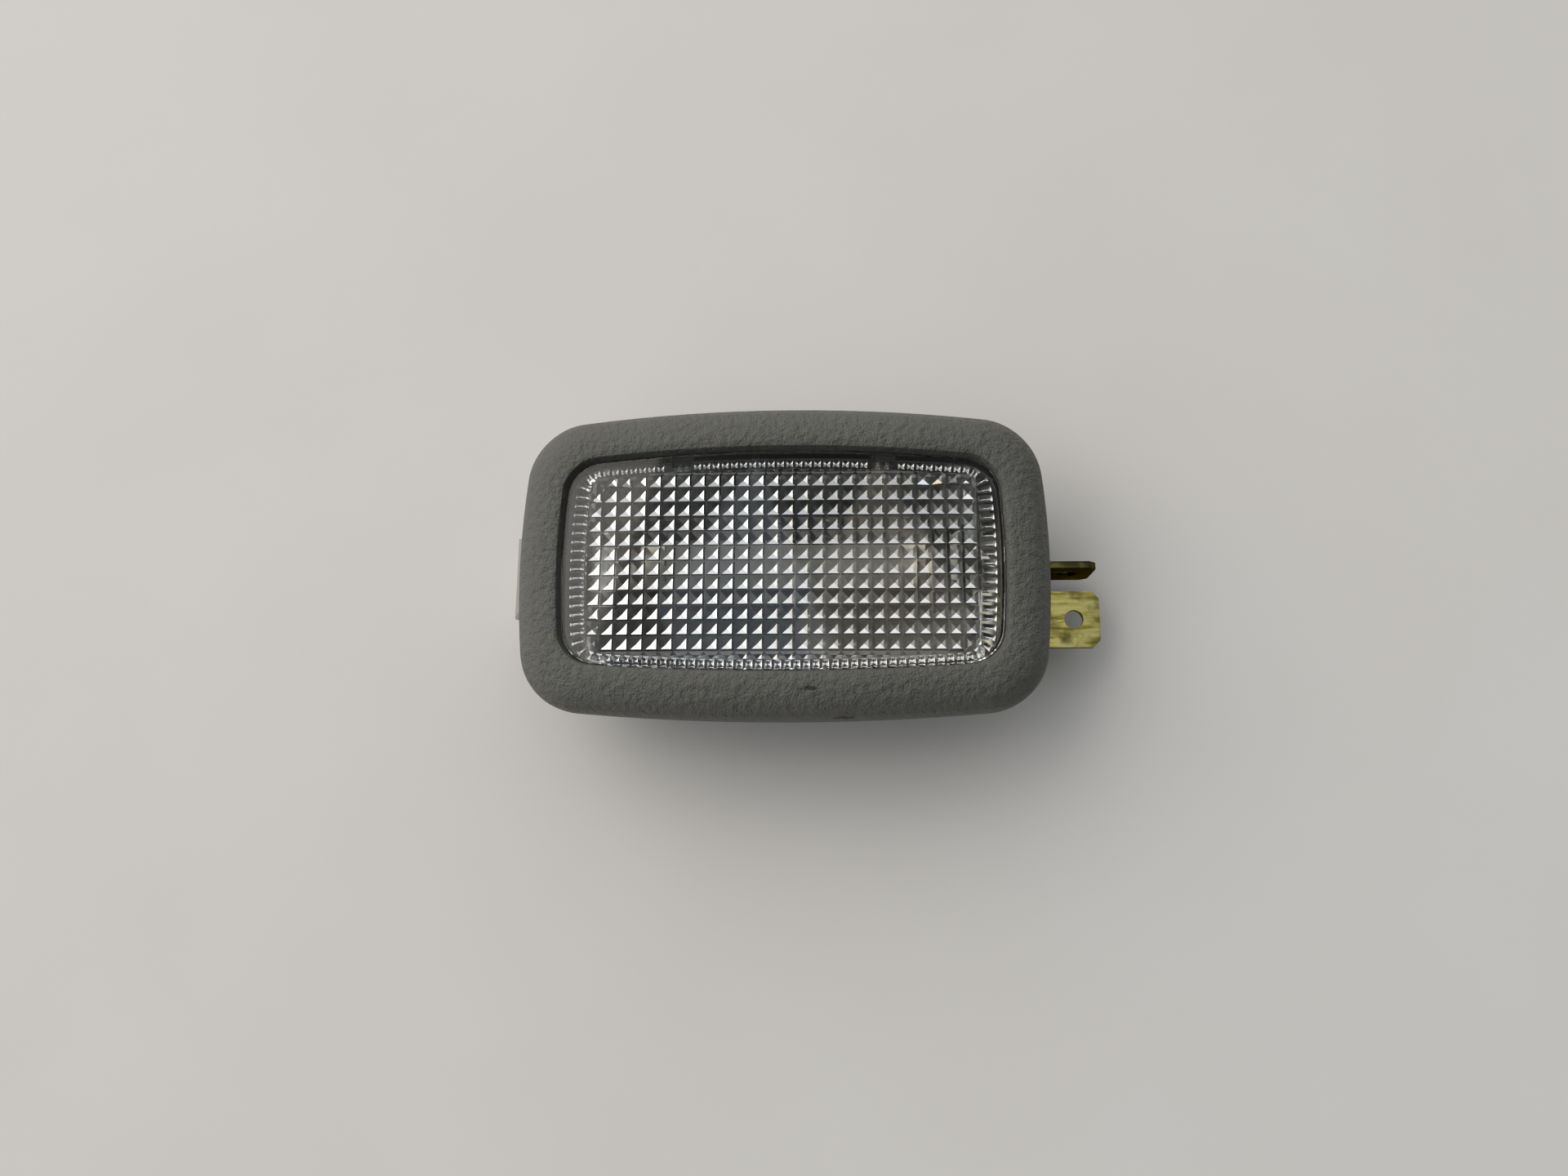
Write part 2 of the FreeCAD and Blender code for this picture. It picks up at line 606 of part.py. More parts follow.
def pan(low, sheet):
    """A block with four sloping sides that widens from a floor up to the reflector's rim."""
    rise = REFLECTOR_TOP - REFLECTOR_BASE
    rim_x = BEZEL_LENGTH / 2 - FIELD_INSET - FIELD_END_EXTRA - REFLECTOR_RIM_MARGIN
    rim_y = BEZEL_WIDTH / 2 - FIELD_INSET - REFLECTOR_RIM_MARGIN
    rings = []
    for height in (low, REFLECTOR_TOP):
        share = (height - REFLECTOR_BASE) / rise
        halves = []
        for floor, rim in ((REFLECTOR_FLOOR_LENGTH / 2, rim_x), (REFLECTOR_FLOOR_WIDTH / 2, rim_y)):
            level_sheet = sheet * math.hypot(rim - floor, rise) / rise
            halves.append(floor + (rim - floor) * share - level_sheet)
        x, y = halves
        rings.append([Vector(a * x, b * y, height) for a, b in SQUARE])
    return tapered_block(*rings)


def reflector():
    """The bright pan behind the bulb, pressed from sheet, with a slot at each end for the contact."""
    sheet = pan(REFLECTOR_BASE, 0).cut(pan(REFLECTOR_BASE + REFLECTOR_SHEET, REFLECTOR_SHEET))
    half = CAP_DIAMETER / 2 + REFLECTOR_SLOT_CLEARANCE
    floor = REFLECTOR_FLOOR_LENGTH / 2
    slots = [
        block(floor, BIG, -half, half, REFLECTOR_SILL, CREST_HEIGHT),
        block(-BIG, -floor, -half, half, REFLECTOR_SILL, CREST_HEIGHT),
    ]
    return sheet.cut(slots)


def turned(profile):
    """A profile of (x, radius) points turned about the bulb's own axis."""
    points = [Vector(x, 0, BULB_HEIGHT + radius) for x, radius in profile]
    face = Part.Face(Part.makePolygon(points + points[:1]))
    return face.revolve(Vector(0, 0, BULB_HEIGHT), Vector(1, 0, 0), 360)


def festoon_bulb():
    """The sealed bulb: a glass tube between two caps, each with a cone that ends in a small flat tip."""
    tip = BULB_LENGTH / 2
    cone = tip - CAP_CONE
    rim = cone - CAP_RIM
    glass, cap, point = BULB_DIAMETER / 2, CAP_DIAMETER / 2, CAP_TIP_DIAMETER / 2
    half = [(rim, glass), (rim, cap), (cone, cap), (tip, point), (tip, 0)]
    mirrored = [(-x, radius) for x, radius in reversed(half)]
    return turned(mirrored + half)


def leaf_face():
    """How far from the middle each contact leaf's inner face stands, so that the cap's tip seats in it."""
    bore = TIP_HOLE_DIAMETER / 2 - TIP_CLEARANCE
    share = (bore - CAP_TIP_DIAMETER / 2) / ((CAP_DIAMETER - CAP_TIP_DIAMETER) / 2)
    return BULB_LENGTH / 2 - share * CAP_CONE


def strip_middle():
    """The middle of the flat contact's strip at the clip end and along the lower side."""
    inner_x = BEZEL_LENGTH / 2 - BAND_WIDTH - STRIP_CLEARANCE
    inner_y = BEZEL_WIDTH / 2 - BAND_WIDTH - STRIP_CLEARANCE
    return -inner_x + STRIP_WIDTH / 2, -inner_y + STRIP_WIDTH / 2


def blade_hole(x, across):
    """The round detent hole near the tip of a blade."""
    start = Vector(x, UPRIGHT_BLADE_Y, BLADE_HEIGHT)
    if across.z:
        start.y = FLAT_BLADE_Y
    return Part.makeCylinder(BLADE_HOLE_DIAMETER / 2, 2 * BLADE_WIDTH, start - across * BLADE_WIDTH, across)


def tip_hole(side):
    """The hole in a leaf that the bulb's tip sits in."""
    start = Vector(side * (leaf_face() - BLADE_SHEET / 2), 0, BULB_HEIGHT)
    return Part.makeCylinder(TIP_HOLE_DIAMETER / 2, 2 * BLADE_SHEET, start, Vector(side, 0, 0))


def tip_chamfers(tip, low, high, place, direction):
    """The two corners cut off the end of a blade."""
    cut = BLADE_TIP_CHAMFER
    pieces = []
    for edge, way in ((low, 1), (high, -1)):
        corners = [
            (tip - cut, edge), (tip, edge + way * cut), (tip + cut, edge + way * cut),
            (tip + cut, edge - way * cut), (tip - cut, edge - way * cut),
        ]
        pieces.append(polygon_prism([place(a, b) for a, b in corners], direction))
    return pieces


def contact_flat():
    """The lower contact: a level blade, a strip along the side of the box, and a leaf at the clip end."""
    tip = WALL_X + FLAT_BLADE_REACH
    low_y, high_y = FLAT_BLADE_Y - BLADE_WIDTH / 2, FLAT_BLADE_Y + BLADE_WIDTH / 2
    low_z, high_z = BLADE_HEIGHT - BLADE_SHEET / 2, BLADE_HEIGHT + BLADE_SHEET / 2
    strip_x, strip_y = strip_middle()
    half = STRIP_WIDTH / 2
    leaf = leaf_face() + BLADE_SHEET / 2
    root = leaf + BLADE_SHEET / 2 + CONTACT_GAP
    sheet = block(root, tip, low_y, high_y, low_z, high_z)
    run = block(strip_x - half, -strip_x + half, strip_y - half, strip_y + half, low_z, high_z)
    neck = block(root, -strip_x + half, strip_y - half, high_y, low_z, high_z)
    turn = block(strip_x - half, strip_x + half, strip_y - half, LEAF_WIDTH / 2, low_z, high_z)
    path = [(strip_x - half, BLADE_HEIGHT), (-leaf, BLADE_HEIGHT), (-leaf, LEAF_TOP)]
    start = -LEAF_WIDTH / 2
    bent = ribbon(path, [LEAF_BEND_RADIUS], BLADE_SHEET, lambda x, z: Vector(x, start, z))
    piece = sheet.fuse([run, neck, turn, bent.extrude(Vector(0, LEAF_WIDTH, 0))])
    corners = tip_chamfers(tip, low_y, high_y, lambda x, y: Vector(x, y, low_z), UP * BLADE_SHEET)
    hole = blade_hole(tip - BLADE_HOLE_SETBACK, UP)
    return piece.cut(corners + [hole, tip_hole(-1)]).removeSplitter()


def contact_upright():
    """The upper contact: an upright blade whose inner end is bent square to make the other leaf."""
    tip = WALL_X + UPRIGHT_BLADE_REACH
    low_z, high_z = BLADE_HEIGHT - BLADE_WIDTH / 2, BLADE_HEIGHT + BLADE_WIDTH / 2
    leaf = leaf_face() + BLADE_SHEET / 2
    outer = WALL_X - WALL - JOGGLE_START
    inner = outer - JOGGLE_LENGTH
    path = [
        (tip, UPRIGHT_BLADE_Y), (outer, UPRIGHT_BLADE_Y),
        (inner, LEAF_TURN_Y), (leaf, LEAF_TURN_Y), (leaf, -LEAF_WIDTH / 2),
    ]
    plan = ribbon(path, [LEAF_BEND_RADIUS] * 3, BLADE_SHEET, lambda x, y: Vector(x, y, low_z))
    piece = plan.extrude(UP * (LEAF_TOP - low_z))
    piece = piece.cut(block(leaf + LEAF_BEND_RADIUS, BIG, -BIG, BIG, high_z, CREST_HEIGHT))
    start = UPRIGHT_BLADE_Y - BLADE_SHEET / 2
    corners = tip_chamfers(
        tip, low_z, high_z, lambda x, z: Vector(x, start, z), Vector(0, BLADE_SHEET, 0)
    )
    hole = blade_hole(tip - BLADE_HOLE_SETBACK, Vector(0, 1, 0))
    return piece.cut(corners + [hole, tip_hole(1)]).removeSplitter()


def retaining_clip():
    """The spring leaf: a rolled root in its socket, a leaf that leans out, and a lip that leans back."""
    roll = CLIP_ROLL_RADIUS
    path = [clip_point(CLIP_LEAN, 0, roll)]
    for aside, along in ((-roll, roll), (-roll, -roll), (roll, -roll)):
        path.append(clip_point(CLIP_LEAN, aside, along))
    bulge = clip_point(CLIP_LEAN, roll, CLIP_LEAF_LENGTH)
    lip = math.radians(CLIP_LIP_LEAN)
    end = (bulge[0] + CLIP_LIP_LENGTH * math.sin(lip), bulge[1] + CLIP_LIP_LENGTH * math.cos(lip))
    half = CLIP_WIDTH / 2
    radii = [roll, roll, roll, CLIP_BEND_RADIUS]
    strip = ribbon(path + [bulge, end], radii, CLIP_SHEET, lambda x, z: Vector(x, -half, z))
    leaf = strip.extrude(Vector(0, CLIP_WIDTH, 0))
    top = end[1] + CLIP_SHEET
    narrow = half - CLIP_LIP_TAPER
    plan = [(-half, -BIG), (half, -BIG), (half, bulge[1]), (narrow, top), (-narrow, top), (-half, bulge[1])]
    return leaf.common(polygon_prism([Vector(-BIG, y, z) for y, z in plan], Vector(BIG, 0, 0)))


NODES = {
    "bezel_frame": bezel_frame(),
    "lens": lens(),
    "rear_cover": rear_cover(),
    "reflector": reflector(),
    "contact_flat": contact_flat(),
    "contact_upright": contact_upright(),
    "festoon_bulb": festoon_bulb(),
    "retaining_clip": retaining_clip(),
}

os.makedirs("parts", exist_ok=True)
for name, shape in NODES.items():
    if shape.ShapeType == "Compound" and len(shape.Solids) == 1:
        shape = shape.Solids[0]
    print(name, shape.ShapeType, len(shape.Solids), shape.isValid(), round(shape.Volume, 2))
    shape.exportStep("parts/" + name + ".step")
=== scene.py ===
# %% [markdown]
# # A sun visor light
# The lamp is a small grey bezel with a clear prism lens, two brass blades at one end and a spring
# clip at the other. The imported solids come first, as a fixed frame, and every visible piece is then
# made to lie on them.

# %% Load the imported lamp
import math

import bmesh
import bpy
from mathutils import Matrix, Vector


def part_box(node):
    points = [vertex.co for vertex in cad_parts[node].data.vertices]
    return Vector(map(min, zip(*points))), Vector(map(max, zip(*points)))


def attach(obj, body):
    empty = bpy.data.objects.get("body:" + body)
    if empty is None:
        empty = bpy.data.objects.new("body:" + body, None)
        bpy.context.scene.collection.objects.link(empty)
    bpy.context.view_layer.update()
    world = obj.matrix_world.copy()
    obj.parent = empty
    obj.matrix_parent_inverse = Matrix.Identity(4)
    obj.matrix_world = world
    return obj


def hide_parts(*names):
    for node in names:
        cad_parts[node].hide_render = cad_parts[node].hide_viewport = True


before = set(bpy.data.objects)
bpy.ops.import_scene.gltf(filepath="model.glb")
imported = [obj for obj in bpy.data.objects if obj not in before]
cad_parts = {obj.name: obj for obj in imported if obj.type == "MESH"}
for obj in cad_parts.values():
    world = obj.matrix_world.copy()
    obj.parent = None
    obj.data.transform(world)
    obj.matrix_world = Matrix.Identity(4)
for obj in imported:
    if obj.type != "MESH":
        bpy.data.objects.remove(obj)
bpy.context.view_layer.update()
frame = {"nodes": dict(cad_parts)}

MM = 0.001
print("nodes:", ", ".join(frame["nodes"]))

# %% [markdown]
# ## Colours and nodes
# Colours are written as sRGB hex, the way a designer writes them, but shaders work in linear light,
# so one function turns them. A second one adds a shader node: it sets plain values, links sockets,
# and takes the node's own options as keywords. A third starts a finish, with the place on the piece
# ready as a vector in metres. A fourth ends a plain finish, where one pattern moves both the colour
# and the gloss, as dirt, flow marks and rolling lines do.

# %% Colour and node helpers
# A Mix node has a set of sockets for each type of data. These are the places of the colour set.
SHARE, FIRST, SECOND, MIXED = 0, 6, 7, 2


def linear(code):
    """An sRGB hex colour as linear red, green, blue and alpha."""
    shares = [int(code[i:i + 2], 16) / 255 for i in (1, 3, 5)]
    bent = [s / 12.92 if s <= 0.04045 else ((s + 0.055) / 1.055) ** 2.4 for s in shares]
    return (*bent, 1.0)


def add(tree, kind, inputs, **options):
    """A new node with its options, its values and its links."""
    node = tree.nodes.new(kind)
    for name, value in options.items():
        setattr(node, name, value)
    for key, value in inputs.items():
        if isinstance(value, bpy.types.NodeSocket):
            tree.links.new(value, node.inputs[key])
        else:
            node.inputs[key].default_value = value
    return node


def start_finish(name, values):
    """A material with its shader's plain values set, and the place on the piece as a vector."""
    material = bpy.data.materials.new(name)
    material.use_nodes = True
    tree = material.node_tree
    shader = tree.nodes["Principled BSDF"]
    for key, value in values.items():
        shader.inputs[key].default_value = value
    place = add(tree, "ShaderNodeTexCoord", {}).outputs["Object"]
    return material, tree, shader, place


def end_finish(tree, shader, pattern, colours=None, roughness=None):
    """Lets a pattern move the colour between two hues and the roughness between two values."""
    if colours:
        first, second = (linear(code) for code in colours)
        tint = add(tree, "ShaderNodeMix", {SHARE: pattern, FIRST: first, SECOND: second},
                   data_type="RGBA")
        tree.links.new(tint.outputs[MIXED], shader.inputs["Base Color"])
    if roughness:
        least, most = roughness
        gloss = add(tree, "ShaderNodeMapRange", {"Value": pattern, "To Min": least, "To Max": most})
        tree.links.new(gloss.outputs["Result"], shader.inputs["Roughness"])


# %% [markdown]
# ## Copies of the solids
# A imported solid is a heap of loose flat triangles, which look faceted where the real moulding is
# smooth. The pieces could be modelled anew, but the solids already have the true forms. So a copy
# is sewn together, its flat areas are cleared of inner edges, its edges are rounded a little as a
# mould or a die leaves them, and only real corners are marked sharp. Weighted normals then keep the
# broad faces flat to the eye.

# %% Sewing and rounding a copy
SEW = 0.002 * MM
FLAT = math.radians(0.4)
SQUARE_CORNER = math.radians(60)


def sewn(node):
    """A bmesh copy of a solid, sewn and cleared of edges inside flat areas."""
    bm = bmesh.new()
    bm.from_mesh(frame["nodes"][node].data)
    bmesh.ops.remove_doubles(bm, verts=bm.verts, dist=SEW)
    bmesh.ops.dissolve_limit(
        bm, angle_limit=FLAT, verts=bm.verts, edges=bm.edges, delimit={"NORMAL"},
    )
    return bm


def corners(bm, least, convex=True):
    """The edges whose two faces turn by more than this angle, outwards or inwards."""
    picked = []
    for edge in bm.edges:
        if len(edge.link_faces) != 2 or edge.is_convex != convex:
            continue
        if edge.calc_face_angle() > least:
            picked.append(edge)
    return picked


def round_off(bm, edges, width, segments):
    """Rounds these edges over a width. One segment cuts them flat."""
    bmesh.ops.bevel(
        bm, geom=edges, offset=width, offset_type="OFFSET", segments=segments, profile=0.5,
        affect="EDGES", clamp_overlap=True, material=-1,
    )


# %% Handing over a piece
CREASE = math.radians(32)


def hand_over(bm, name, finish, body, node=None, crease=CREASE):
    """Turns a bmesh into a piece of the lamp that rides on a body."""
    for face in bm.faces:
        face.smooth = True
    for edge in bm.edges:
        edge.smooth = len(edge.link_faces) == 2 and edge.calc_face_angle() < crease
    mesh = bpy.data.meshes.new(name)
    bm.to_mesh(mesh)
    bm.free()
    piece = bpy.data.objects.new(name, mesh)
    bpy.context.scene.collection.objects.link(piece)
    mesh.materials.append(finish)
    even = piece.modifiers.new("even_shading", "WEIGHTED_NORMAL")
    even.keep_sharp = True
    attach(piece, body)
    if node:
        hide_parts(node)
    print(name, "has", len(mesh.polygons), "faces")


# %% [markdown]
# ## Camera, floor and light
# The picture looks down on the lens from close by, a little from below. A camera can be placed by
# eye, but this one was fitted to the lamp's outline, so its three axes and its standpoint are given
# as they came out.
#
# Clear prisms have no colour of their own: they mirror the room. So the light is laid out for them,
# over a plain pale floor. A large warm key stands at the upper left like a window, two small boxes
# hang overhead, one warm and one cool, and a pale room lies all round. The room is bright on the
# window's side and dark straight above, which keeps the flat webs between the prisms dark.

# %% Camera
RIGHT = Vector((0.99864, 0.00487, -0.05221))
DOWN = Vector((-0.00594, -0.97878, -0.20490))
AHEAD = Vector((-0.05210, 0.20493, -0.97739))
STANDPOINT = Vector((6.86, -28.65, 137.26)) * MM
FOCAL_PIXELS = 1460
IMAGE_WIDTH = 1920
SENSOR = 36.0
NEAREST = 1 * MM

camera_data = bpy.data.cameras.new("camera")
camera_data.sensor_fit = "HORIZONTAL"
camera_data.sensor_width = SENSOR
camera_data.lens = SENSOR * FOCAL_PIXELS / IMAGE_WIDTH
camera_data.clip_start = NEAREST
camera = bpy.data.objects.new("camera", camera_data)
turn = Matrix((RIGHT, -DOWN, -AHEAD)).transposed()
camera.matrix_world = Matrix.LocRotScale(STANDPOINT, turn.to_quaternion(), None)
bpy.context.scene.collection.objects.link(camera)
bpy.context.scene.camera = camera
bpy.context.scene.view_settings.view_transform = "Standard"
print("lens", round(camera_data.lens, 2), "mm at", [round(v / MM, 1) for v in STANDPOINT], "mm")

# %% Floor
FLOOR_SPAN = 1.6
FLOOR_DROP = 0.02 * MM
MOTTLE = 30 * MM

# Matt paint on board: a flat pale grey with the faintest broad mottle.
paint, tree, shader, place = start_finish(
    "painted_board_matt", {"Roughness": 0.9, "Specular IOR Level": 0.2},
)
mottle = add(tree, "ShaderNodeTexNoise", {"Vector": place, "Scale": 1 / MOTTLE, "Detail": 4.0})
end_finish(tree, shader, mottle.outputs["Fac"], colours=("#e6e3df", "#edebe8"))
board = bmesh.new()
bmesh.ops.create_grid(board, x_segments=1, y_segments=1, size=FLOOR_SPAN / 2)
bmesh.ops.translate(board, verts=board.verts, vec=(0, 0, -FLOOR_DROP))
floor_mesh = bpy.data.meshes.new("floor")
board.to_mesh(floor_mesh)
board.free()
floor_mesh.materials.append(paint)
floor = bpy.data.objects.new("floor", floor_mesh)
bpy.context.scene.collection.objects.link(floor)
print("floor", FLOOR_SPAN, "m across")

# %% Lights
# Places and sides are in millimetres.
LAMP_MIDDLE = Vector((0, 0, 10)) * MM
LIGHTS = {
    "window_key": {"at": (-420, 260, 430), "side": 620, "watts": 1.7, "colour": "#fff5e6"},
    "overhead_warm": {"at": (70, 76, 480), "side": 120, "watts": 0.038, "colour": "#fff0d6"},
    "overhead_cool": {"at": (-60, 76, 480), "side": 120, "watts": 0.038, "colour": "#e2eeff"},
}
for name, light in LIGHTS.items():
    data = bpy.data.lights.new(name, "AREA")
    data.shape = "SQUARE"
    data.size = light["side"] * MM
    data.energy = light["watts"]
    data.color = linear(light["colour"])[:3]
    box = bpy.data.objects.new(name, data)
    box.location = Vector(light["at"]) * MM
    box.rotation_euler = (LAMP_MIDDLE - box.location).to_track_quat("-Z", "Y").to_euler()
    bpy.context.scene.collection.objects.link(box)
print("lights:", ", ".join(LIGHTS))

# %% Room
# The room's strength goes by direction: it drops near straight up and rises to the window's side.
DARK_ABOVE = {"From Min": 0.85, "From Max": 0.97, "To Min": 1.0, "To Max": 0.12}
WINDOW_SIDE = (-0.75, 0.66, 0.0)
BRIGHT_SIDE = {"From Min": -0.6, "From Max": 0.6, "To Min": 0.06, "To Max": 1.22}

world = bpy.data.worlds.new("pale_room")
world.use_nodes = True
room = world.node_tree
outward = add(room, "ShaderNodeTexCoord", {}).outputs["Generated"]
upward = add(room, "ShaderNodeSeparateXYZ", {"Vector": outward}).outputs["Z"]
sideways = add(room, "ShaderNodeVectorMath", {0: outward, 1: WINDOW_SIDE}, operation="DOT_PRODUCT")
above = add(room, "ShaderNodeMapRange", {"Value": upward, **DARK_ABOVE})
side = add(room, "ShaderNodeMapRange", {"Value": sideways.outputs["Value"], **BRIGHT_SIDE})
strength = add(room, "ShaderNodeMath", {0: above.outputs["Result"], 1: side.outputs["Result"]},
               operation="MULTIPLY")
background = room.nodes["Background"]
background.inputs["Color"].default_value = linear("#eef1f4")
room.links.new(strength.outputs["Value"], background.inputs["Strength"])
bpy.context.scene.world = world
print("room:", world.name)

# %% [markdown]
# ## The bezel
# The frame is injection-moulded ABS in a warm mid grey, with the leathery grain of car trim etched
# into its mould. The copy of the solid gives the shape. The grain could be pushed into the mesh,
# but that would take a great many faces, so the finish adds it as bump: full on the band, and faint
# on the box wall below it. The finish also makes the grey a little uneven and adds the small dark
# specks and the two black scuffs that handling has left.

# %% Grained ABS
# The grain is at the coarse end of what trim has, so that it shows.
GRAIN = 0.7 * MM
FINE_GRAIN = GRAIN / 3
GRAIN_DEPTH = 0.22 * MM
BAND_FOOT = 11.0 * MM
ON_BAND = {"From Min": BAND_FOOT, "From Max": BAND_FOOT + MM, "To Min": 0.15, "To Max": 1.0}

# Moulded ABS: dull and even, with soft broken highlights where the grain catches the light.
grey_abs, tree, shader, place = start_finish("grey_abs_moulded_grain", {"IOR": 1.53})
grain = add(tree, "ShaderNodeTexVoronoi", {"Vector": place, "Scale": 1 / GRAIN, "Randomness": 1.0},
            feature="SMOOTH_F1")
fine = add(tree, "ShaderNodeTexNoise", {"Vector": place, "Scale": 1 / FINE_GRAIN, "Detail": 3.0})
relief = add(tree, "ShaderNodeMath", {0: grain.outputs["Distance"], 1: fine.outputs["Fac"]},
             operation="ADD")
up = add(tree, "ShaderNodeSeparateXYZ", {"Vector": place}).outputs["Z"]
etched = add(tree, "ShaderNodeMapRange", {"Value": up, **ON_BAND})
bump = add(tree, "ShaderNodeBump", {
    "Height": relief.outputs["Value"], "Strength": etched.outputs["Result"],
    "Distance": GRAIN_DEPTH,
})
tree.links.new(bump.outputs["Normal"], shader.inputs["Normal"])
end_finish(tree, shader, fine.outputs["Fac"], roughness=(0.5, 0.66))
print(grey_abs.name, "with grain of", GRAIN / MM, "mm")

# %% Uneven grey with specks
CLOUD = 12 * MM
SPECK = 1.6 * MM
SPECK_CORE = {"From Min": 0.05, "From Max": 0.09, "To Min": 1.0, "To Max": 0.0}
SPECK_FIELD = 5 * MM

cloud = add(tree, "ShaderNodeTexNoise", {"Vector": place, "Scale": 1 / CLOUD, "Detail": 3.0})
grey = add(tree, "ShaderNodeMix", {
    SHARE: cloud.outputs["Fac"], FIRST: linear("#5a5a55"), SECOND: linear("#64645e"),
}, data_type="RGBA")
dots = add(tree, "ShaderNodeTexVoronoi", {"Vector": place, "Scale": 1 / SPECK, "Randomness": 1.0})
dot = add(tree, "ShaderNodeMapRange", {"Value": dots.outputs["Distance"], **SPECK_CORE})
field = add(tree, "ShaderNodeTexNoise", {"Vector": place, "Scale": 1 / SPECK_FIELD})
few = add(tree, "ShaderNodeMapRange",
          {"Value": field.outputs["Fac"], "From Min": 0.5, "From Max": 0.62})
specks = add(tree, "ShaderNodeMath", {0: dot.outputs["Result"], 1: few.outputs["Result"]},
             operation="MULTIPLY")
worn = add(tree, "ShaderNodeMix", {
    SHARE: specks.outputs["Value"], FIRST: grey.outputs[MIXED], SECOND: linear("#33332f"),
}, data_type="RGBA")
print("specks in cells of", SPECK / MM, "mm")

# %% Scuffs
# Places and sizes are in millimetres.
SCUFFS = [
    {"at": (6.6, -16.5, 14.7), "size": (2.6, 0.9, 0.9)},
    {"at": (2.9, -13.8, 16.9), "size": (2.6, 0.45, 1.0)},
]
FADE = {"From Min": 0.3, "From Max": 1.0, "To Min": 1.0, "To Max": 0.0}
RUB = 0.6 * MM


def patch(tree, place, spot):
    """A mask that is 1 in the middle of a spot on the piece and fades to 0 at its rim."""
    scale = [1 / (side * MM) for side in spot["size"]]
    shift = [-at / side for at, side in zip(spot["at"], spot["size"])]
    near = add(tree, "ShaderNodeMapping", {"Vector": place, "Location": shift, "Scale": scale})
    far = add(tree, "ShaderNodeVectorMath", {0: near.outputs["Vector"]}, operation="LENGTH")
    mask = add(tree, "ShaderNodeMapRange", {"Value": far.outputs["Value"], **FADE})
    return mask.outputs["Result"]


rub = add(tree, "ShaderNodeTexNoise", {"Vector": place, "Scale": 1 / RUB, "Detail": 2.0})
for spot in SCUFFS:
    mask = patch(tree, place, spot)
    rubbed = add(tree, "ShaderNodeMath", {0: mask, 1: rub.outputs["Fac"]}, operation="MULTIPLY")
    black = add(tree, "ShaderNodeMapRange",
                {"Value": rubbed.outputs["Value"], "From Min": 0.34, "From Max": 0.44})
    worn = add(tree, "ShaderNodeMix", {
        SHARE: black.outputs["Result"], FIRST: worn.outputs[MIXED], SECOND: linear("#1d1c1a"),
    }, data_type="RGBA")
tree.links.new(worn.outputs[MIXED], shader.inputs["Base Color"])
print(len(SCUFFS), "scuffs")

# %% Bezel skin
MOULD_EDGE = 0.12 * MM

bezel = sewn("bezel_frame")
round_off(bezel, corners(bezel, SQUARE_CORNER), MOULD_EDGE, segments=2)
hand_over(bezel, "bezel_skin", grey_abs, "lamp", "bezel_frame")

# %% [markdown]
# ## The lens
# The lens is clear acrylic, moulded in one with a grid of small four-sided prisms on its inner face
# and a ring of flutes round them. Bump could draw the prisms on a plain pane, but clear plastic
# bends light by its true faces, so they are real geometry. The solid has them with sharp valleys. A
# flat bevel along each valley makes the web that a mould leaves. The webs are then set back and the
# tips pushed out, until the facets stand at about 45 degrees, where they turn light back like
# mirrors. Round bevels make ribs of the flutes, and four short bars lie under the two snap tabs.

# %% Clear acrylic
HAZE = 6 * MM

# Moulded acrylic: clear, colourless, polished on the facets, with the faintest haze.
acrylic, tree, shader, place = start_finish(
    "clear_acrylic_moulded",
    {"IOR": 1.49, "Transmission Weight": 1.0, "Base Color": linear("#fbfbf8")},
)
haze = add(tree, "ShaderNodeTexNoise", {"Vector": place, "Scale": 1 / HAZE, "Detail": 3.0})
end_finish(tree, shader, haze.outputs["Fac"], roughness=(0.02, 0.07))
print(acrylic.name)

# %% Prisms with webs
LENS_BACK = 13.1 * MM
VALLEY = LENS_BACK - 0.1 * MM
PRISM_DEPTH = 0.55 * MM
PRISM_HALF = 0.8 * MM
PRISM_SLOPE = math.atan2(PRISM_DEPTH, PRISM_HALF)
PRISM_TIP = VALLEY - PRISM_DEPTH
WEB = 0.2 * MM
WEB_LEVEL = VALLEY - WEB * math.sin(PRISM_SLOPE)
STEEPER = 0.085 * MM
LENS_CORNER = math.radians(20)
NEAR = 0.02 * MM


def at_level(verts, level):
    """Those of these vertices that lie at this height."""
    return [vert for vert in verts if abs(vert.co.z - level) < NEAR]


lens = sewn("lens")
valleys = [
    edge for edge in corners(lens, LENS_CORNER, convex=False)
    if len(at_level(edge.verts, VALLEY)) == 2
]
print(len(valleys), "valleys between the prisms")
round_off(lens, valleys, WEB, segments=1)
webs = at_level(lens.verts, WEB_LEVEL)
tips = at_level(lens.verts, PRISM_TIP)
bmesh.ops.translate(lens, verts=webs, vec=(0, 0, VALLEY - WEB_LEVEL))
bmesh.ops.translate(lens, verts=tips, vec=(0, 0, -STEEPER))
print(len(tips), "prisms")

# %% Flutes, rim and tab bars
FLUTE_RIDGE = LENS_BACK - 0.45 * MM
FLUTE_ROUND = 0.2 * MM
RIM_FOOT = LENS_BACK + 1 * MM
RIM_ROUND = 0.2 * MM
BAR_PLACES = [x * MM for x in (-11.15, -10.35, 10.25, 11.2)]
BAR_RADIUS = 0.22 * MM
BAR_LENGTH = 0.8 * MM
BAR_MIDDLE = 10.55 * MM
BAR_SIDES = 12
LENS_CREASE = math.radians(28)
QUARTER = math.radians(90)

